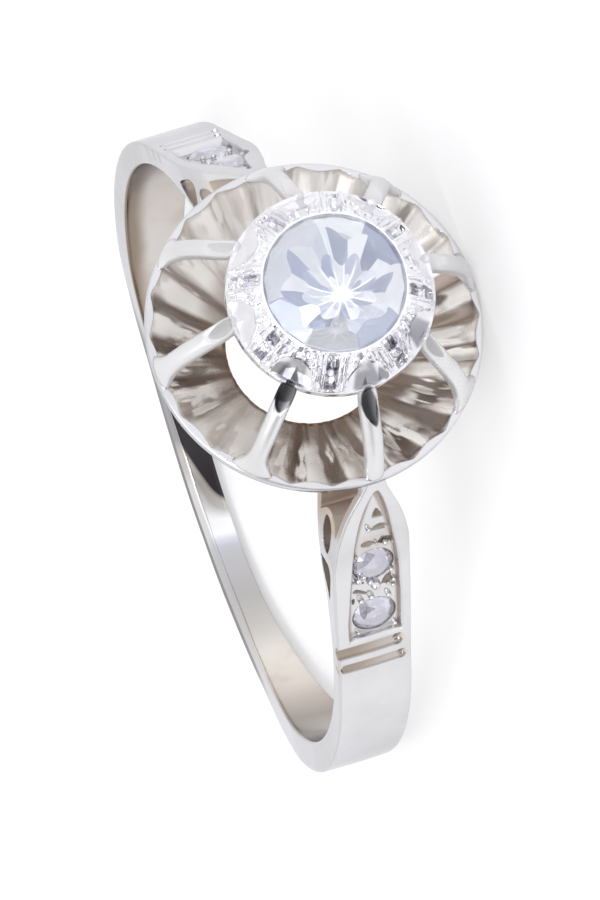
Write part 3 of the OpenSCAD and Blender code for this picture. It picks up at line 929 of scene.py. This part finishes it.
    # floor of the recess and the two grooves
    along = g.math("MAXIMUM", g.math("MULTIPLY_ADD", climb, 1 / 5.85, -1.5 / 5.85), 0.0)
    edge = g.math("SUBTRACT", g.math("MULTIPLY_ADD", g.math("POWER", along, 3.0), -.78, .79),
                  g.math("ABSOLUTE", g.math("SUBTRACT", y, g.math("MULTIPLY_ADD", climb, .02, .02))))
    low = g.times(g.step(rho, 8.6, 8.7), g.step(depth, .03, .1), g.step(depth, .95, .85), g.step(climb, 1.35, 1.45), g.step(climb, 7.5, 7.3), g.step(ay, .95, .85))
    col = g.mix(g.times(low, g.step(cloud, .45, .75, .1, .6)), col, (0.55, 0.49, 0.44))
    # painted shade: a darker line along the recess's inner borders
    col = g.mix(g.times(low, g.step(x, -1, 1), g.step(edge, .19, .07)), col, (0.44, 0.38, 0.34))
    col = g.mix(g.times(low, g.step(depth, .24, .32), g.step(x, -1, 1, .3, 1)), col, (0.55, 0.475, 0.40))
    rough = g.math("ADD", rough, g.times(low, g.step(depth, .22, .3), .3))
    # the grooves and the land between them: painted shade on the lower wall of each groove, darkest towards -Y
    line = g.times(g.step(x, -1, 1, .45, 1), g.step(rho, 8.6, 8.7), g.step(depth, .02, .10), g.step(depth, .4, .3), g.step(climb, .15, .25), g.step(climb, 1.36, 1.3))
    groove_lower_shade = g.math("MAXIMUM", g.times(g.step(climb, 1.12, .98), g.step(climb, .75, .85)), g.step(climb, .46, .34))
    col = g.mix(g.times(line, g.step(groove_lower_shade, 0, 1, .55, .9)), col, g.mix(groove_lower_shade, (0.64, 0.57, 0.49), g.mix(g.step(y, -.7, .6), (0.30, 0.235, 0.185), (0.50, 0.44, 0.39))))
    b.inputs["Metallic"].default_value = 1.0
    dull = g.math("MAXIMUM", g.times(cup_in, g.math("MULTIPLY_ADD", g.math("MAXIMUM", bright, g.math("SUBTRACT", .75, dark)), .45, .22)), g.times(claws, .38, g.math("SUBTRACT", 1.0, painted_claw_reflections_all)))
    dull = g.math("MAXIMUM", dull, g.times(low, g.math("MAXIMUM", g.step(depth, .22, .3), g.step(edge, .19, .07)), .5))
    g.feed(b.inputs["Metallic"], g.math("SUBTRACT", 1.0, dull))
    b.inputs["Specular Tint"].default_value = (0.80, 0.80, 0.82, 1)
    surface(g, b, col, rough, here, 4e-5)
    return mat


def plate_metal():
    """Freshly cut, whiter metal, faintly violet, with painted dark reflections on the scallops, painted shade in the
    windows and a painted glow at the inner lip.
    """
    mat, nt, b = nodes_of("bright_cut_white_gold")
    g = Graph(nt)
    here = g.node("TexCoord").outputs["Object"]
    cloud = g.noise(here, 900, 4, 0.6)
    col = g.mix(g.step(cloud, .35, .65), (0.87, 0.865, 0.885), (0.79, 0.78, 0.82))
    x, y, z = g.ring_xyz(here)
    r = g.math("SQRT", g.math("ADD", g.times(x, x), g.times(y, y)))
    gap = g.math("SUBTRACT", g.math("MODULO", g.math("ADD", g.math("ARCTAN2", y, x), 4 * math.pi - math.radians(2)), math.pi / 4), math.pi / 8)
    across = g.math("ABSOLUTE", g.times(gap, r))           # mm from the middle of a gap between claws
    band = g.times(g.step(r, 2.80, 2.74), g.step(z, 14.3, 14.38))
    low = g.step(x, .6, 1.9)
    # painted reflection on the polished scallops in front of the claws and painted shade in the windows, on the near,
    # lower half of the plate
    scallop = g.times(band, g.step(across, .60, .74), g.step(g.math("ADD", r, g.times(across, -.35)), 1.93, 2.02), g.step(cloud, .25, .5, .5, .95), low)
    window = g.times(g.step(g.math("MULTIPLY_ADD", cloud, 1.6, x), -1.4, 2.6, .12, 1.0), band, g.step(across, .15, .115), g.step(r, 2.06, 2.1), g.step(g.math("ABSOLUTE", g.math("SUBTRACT", r, 2.42)), .1, .14))
    col = g.mix(g.times(scallop, .85), col, (0.22, 0.22, 0.25))
    col = g.mix(g.times(window, .8), col, (0.26, 0.25, 0.28))
    # painted glow: the inner lip by the stone near-white and faintly emissive, lifting the dark line at the gap
    lip_glow = g.times(g.step(r, 2.03, 1.98), g.step(z, 15.0, 15.05))
    col = g.mix(lip_glow, col, (0.95, 0.95, 0.98))
    b.inputs["Emission Color"].default_value = (0.95, 0.96, 1.0, 1)
    g.feed(b.inputs["Emission Strength"], g.times(lip_glow, .04))
    b.inputs["Metallic"].default_value = 1.0
    surface(g, b, col, g.step(cloud, .3, .7, .06, .16), here, 1.5e-5, 0.6)
    return mat


def gem(name, color, sparkle_tint, share, facets=None):
    """A clear stone mixed with a pale mirror layer that stands in for the light it sends back; with facets, that layer
    carries painted facet reflections, a painted star and a faint glow. facets: radii at which the back facets seen
    through it change, mm.
    """
    mat, nt, b = nodes_of(name)
    g = Graph(nt)
    here = g.node("TexCoord").outputs["Object"]
    noise = g.noise(here, 900, 3)
    b.inputs["Transmission Weight"].default_value = 1.0
    b.inputs["IOR"].default_value = 2.417
    b.inputs["Roughness"].default_value = 0.0
    g.feed(b.inputs["Base Color"], g.mix(noise, color, (color[0] * .97, color[1] * .98, color[2])))
    sparkle_layer = g.node("BsdfPrincipled")
    sparkle_layer.inputs["Metallic"].default_value = 0.8
    tint = g.mix(g.noise(here, 500, 2), sparkle_tint, tuple(c * .93 for c in sparkle_tint))
    g.feed(sparkle_layer.inputs["Roughness"], g.step(noise, .3, .7, .10, .2))
    if facets:
        x, y, z = g.ring_xyz(here)
        r = g.math("SQRT", g.math("ADD", g.times(x, x), g.times(y, y)))
        rim = r
        low_side = x
        shift = g.step(r, 1.9, 0.0)
        x = g.math("ADD", x, g.times(shift, -.54))
        y = g.math("ADD", y, g.times(shift, .04))
        r = g.math("SQRT", g.math("ADD", g.times(x, x), g.times(y, y)))
        turn = g.math("ARCTAN2", y, x)
        ex, ey, ez = (Vector(A[:, k]) for k in range(3))
        normal, glow = None, None
        for k, (count, lean, swing, shift) in enumerate(((8, .10, .10, .2), (16, .30, .26, .1), (16, .50, .22, .3), (8, .72, .15, 0))):
            step = 2 * math.pi / count
            cell = g.math("FLOOR", g.math("MULTIPLY_ADD", turn, 1 / step, shift))
            mid = g.math("MULTIPLY_ADD", cell, step, step * (0.5 - shift))
            odd = g.math("SUBTRACT", g.times(g.math("ABSOLUTE", g.math("MODULO", cell, 2.0)), 2.0), 1.0)
            wild = g.math("SINE", g.math("MULTIPLY_ADD", cell, 12.9, 4.1 * k))
            tilt = g.math("ADD", g.math("MULTIPLY_ADD", odd, swing, lean), g.times(wild, .10))
            v = ez
            for axis, f in ((ex, "COSINE"), (ey, "SINE")):
                sc = g.node("VectorMath", operation="SCALE")
                sc.inputs[0].default_value = axis
                g.feed(sc.inputs["Scale"], g.times(g.math(f, mid), tilt))
                add = g.node("VectorMath", operation="ADD")
                add.inputs[0].default_value = (0, 0, 0)
                g.feed(add.inputs[0], v if isinstance(v, bpy.types.NodeSocket) else tuple(v))
                g.feed(add.inputs[1], sc.outputs[0])
                v = add.outputs[0]
            # painted facet reflections: each cell of the back facets gets its own brightness
            light = g.math("MULTIPLY_ADD", g.math("SINE", g.math("MULTIPLY_ADD", cell, 78.2, 1.7 * k)), .22, .78)
            if normal is None:
                normal, glow = v, light
            else:
                edge = g.step(g.math("ADD", r, g.times(g.math("COSINE", g.math("MULTIPLY_ADD", turn, 8.0, 1.3 * k)), .13)), facets[k - 1] - .004, facets[k - 1] + .004)
                mx = g.node("Mix", data_type="VECTOR")
                g.feed(mx.inputs[0], edge)
                g.feed(mx.inputs[4], normal)
                g.feed(mx.inputs[5], v)
                normal = mx.outputs[1]
                glow = g.math("ADD", g.times(glow, g.math("SUBTRACT", 1.0, edge)), g.times(light, edge))
        own = g.node("NewGeometry").outputs["True Normal"]
        blend = g.node("Mix", data_type="VECTOR")
        g.feed(blend.inputs[0], g.step(rim, 1.18, 1.34, 0, .5))
        g.feed(blend.inputs[4], normal)
        g.feed(blend.inputs[5], own)
        unit = g.node("VectorMath", operation="NORMALIZE")
        g.feed(unit.inputs[0], blend.outputs[1])
        g.feed(sparkle_layer.inputs["Normal"], unit.outputs[0])
        # painted star: bright lines standing in for glints, strongest at the middle
        sector = g.math("FLOOR", g.math("MULTIPLY_ADD", turn, 8 / math.pi, .5))
        reach = g.math("MULTIPLY_ADD", g.math("SINE", g.times(sector, 37.7)), .42, 1.0)
        rays = g.math("POWER", g.math("ABSOLUTE", g.math("COSINE", g.times(turn, 8.0))), g.math("MULTIPLY_ADD", r, 22.0, 5.0))
        star = g.times(rays, g.step(g.math("DIVIDE", r, reach), 1.1, .5), g.step(g.math("SINE", g.times(sector, 91.3)), -.9, .3, .35, 1))
        painted_star_glint = g.math("MAXIMUM", star, g.step(r, .40, .06))
        # painted reflections: dim cells blue-violet, the star and the middle white
        tint = g.mix(g.step(glow, .56, .98), (0.34, 0.38, 0.53), tint)
        tint = g.mix(painted_star_glint, tint, (1.0, 1.0, 1.0))
        # painted glow: the layer glows faintly all over, more along the star, round the rim over the dark line at the
        # girdle, and on the near side
        sparkle_layer.inputs["Emission Color"].default_value = (0.93, 0.95, 1.0, 1)
        outline = g.step(rim, 1.86, 1.93)
        tint = g.mix(g.times(outline, .6), tint, (0.90, 0.92, 0.98))
        g.feed(sparkle_layer.inputs["Emission Strength"], g.math("ADD", g.math("MULTIPLY_ADD", painted_star_glint, .7, .10), g.math("MAXIMUM", g.times(outline, .14), g.step(low_side, .8, 1.4, 0, .13))))
    g.feed(sparkle_layer.inputs["Base Color"], tint)
    both = g.node("MixShader")
    both.inputs[0].default_value = share
    out = [n for n in nt.nodes if n.type == "OUTPUT_MATERIAL"][0]
    nt.links.new(b.outputs[0], both.inputs[1])
    nt.links.new(sparkle_layer.outputs[0], both.inputs[2])
    nt.links.new(both.outputs[0], out.inputs[0])
    return mat


def plain_floor(name, color, glow):
    mat, nt, b = nodes_of(name)
    N, Lk = nt.nodes.new, nt.links.new
    tc = N("ShaderNodeTexCoord")
    noise = N("ShaderNodeTexNoise"); noise.inputs["Scale"].default_value = 40
    Lk(tc.outputs["Object"], noise.inputs["Vector"])
    mix = N("ShaderNodeMix"); mix.data_type = "RGBA"
    mix.inputs[6].default_value = (*color, 1); mix.inputs[7].default_value = (*[c * .985 for c in color], 1)
    Lk(noise.outputs["Fac"], mix.inputs[0]); Lk(mix.outputs[2], b.inputs["Base Color"])
    b.inputs["Roughness"].default_value = 0.6
    b.inputs["Emission Color"].default_value = (1, 1, 1, 1)
    b.inputs["Emission Strength"].default_value = glow
    return mat


def finish_piece(o, mat, node):
    o.data.materials.clear()
    o.data.materials.append(mat)
    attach(o, "root")
    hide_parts(node)


METAL = mount_metal()
PLATE = plate_metal()
STONE = gem("brilliant", (0.985, 0.99, 1.0), (0.93, 0.95, 1.0), 0.62, (.5, .95, 1.42))
SMALL_STONE = gem("small_cut", (0.97, 0.975, 1.0), (0.88, 0.87, 0.99), 0.45)

finish_piece(mount(), METAL, "ring_mount")
finish_piece(plate(), PLATE, "illusion_plate")
finish_piece(centre_stone(), STONE, "centre_stone")
for side, mx in (("near", 1), ("far", -1)):
    for pos, (u, y, r) in zip(("upper", "lower"), SMALL):
        finish_piece(small_stone(f"small_brilliant_{side}_{pos}", u, y, r, mx, 0.2 + u), SMALL_STONE, f"shoulder_stone_{side}_{pos}")

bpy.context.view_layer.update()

# ---------------------------------------------------------------- floor, light, camera
def panel(name, centre, target, size, power, color=(1, 1, 1)):
    l = bpy.data.lights.new(name, "AREA")
    l.shape, l.size, l.size_y, l.energy, l.color = "RECTANGLE", size[0], size[1], power, color
    o = bpy.data.objects.new(name, l)
    o.location = centre
    o.rotation_euler = (Vector(target) - Vector(centre)).to_track_quat("-Z", "Y").to_euler()
    bpy.context.scene.collection.objects.link(o)
    return o


floor = mesh_object("floor", [(-1.5, -1.5, 0), (1.5, -1.5, 0), (1.5, 1.5, 0), (-1.5, 1.5, 0)], [(0, 1, 2, 3)])
for v in floor.data.vertices:
    v.co.z = -1e-6
floor.data.materials.append(plain_floor("pale_floor", (0.55, 0.55, 0.553), 0.42))

# a white tent, open and darker in front where the picture is taken from
world = bpy.data.worlds.new("studio")
bpy.context.scene.world = world
world.use_nodes = True
wg = Graph(world.node_tree)
bg = world.node_tree.nodes["Background"]
sky = wg.node("TexCoord").outputs["Generated"]
facing = wg.node("VectorMath", operation="DOT_PRODUCT")
wg.feed(facing.inputs[0], sky)
facing.inputs[1].default_value = (-0.2246, -0.8869, 0.4038)
front = facing.outputs["Value"]
tent = wg.mix(wg.step(front, 0.30, 0.80), (1.0, 1.0, 1.0), (1.14, 1.16, 1.25))
tent = wg.mix(wg.step(front, 0.965, 0.99), tent, (0.10, 0.10, 0.11))
beside = wg.node("VectorMath", operation="DOT_PRODUCT")
wg.feed(beside.inputs[0], sky)
beside.inputs[1].default_value = (-0.94, -0.26, 0.22)
tent = wg.mix(wg.step(beside.outputs["Value"], 0.78, 0.92), tent, (0.42, 0.415, 0.42))
wg.feed(bg.inputs[0], tent)
bg.inputs[1].default_value = 1.0
panel("key", (-0.15, -0.10, 0.35), (0, 0, 0), (0.30, 0.30), 0.40)
panel("fill", (-0.12, -0.45, 0.30), (0, 0, 0), (0.07, 0.07), 0.35)

cam = bpy.data.cameras.new("camera")
cam.sensor_width = 36
cam.lens = 354.19435765241263
cam.clip_start, cam.clip_end = 0.01, 10
co = bpy.data.objects.new("camera", cam)
right = np.array([-0.32865466140993943, -0.32115825871732123, -0.8881686137165492])
down = np.array([-0.9173545666699806, 0.33219425281765974, 0.21933439630994836])
forward = np.array([0.22460345621394784, 0.8868508055206217, -0.4037931849402294])
M = Matrix.Identity(4)
for i, axis in enumerate((right, -down, -forward)):
    for k in range(3):
        M[k][i] = axis[k]
for k, v in enumerate((-0.05668765350358107, -0.21905768737238, 0.10229234352441105)):
    M[k][3] = v
co.matrix_world = M
bpy.context.scene.collection.objects.link(co)
bpy.context.scene.camera = co
bpy.context.scene.view_settings.view_transform = "Standard"
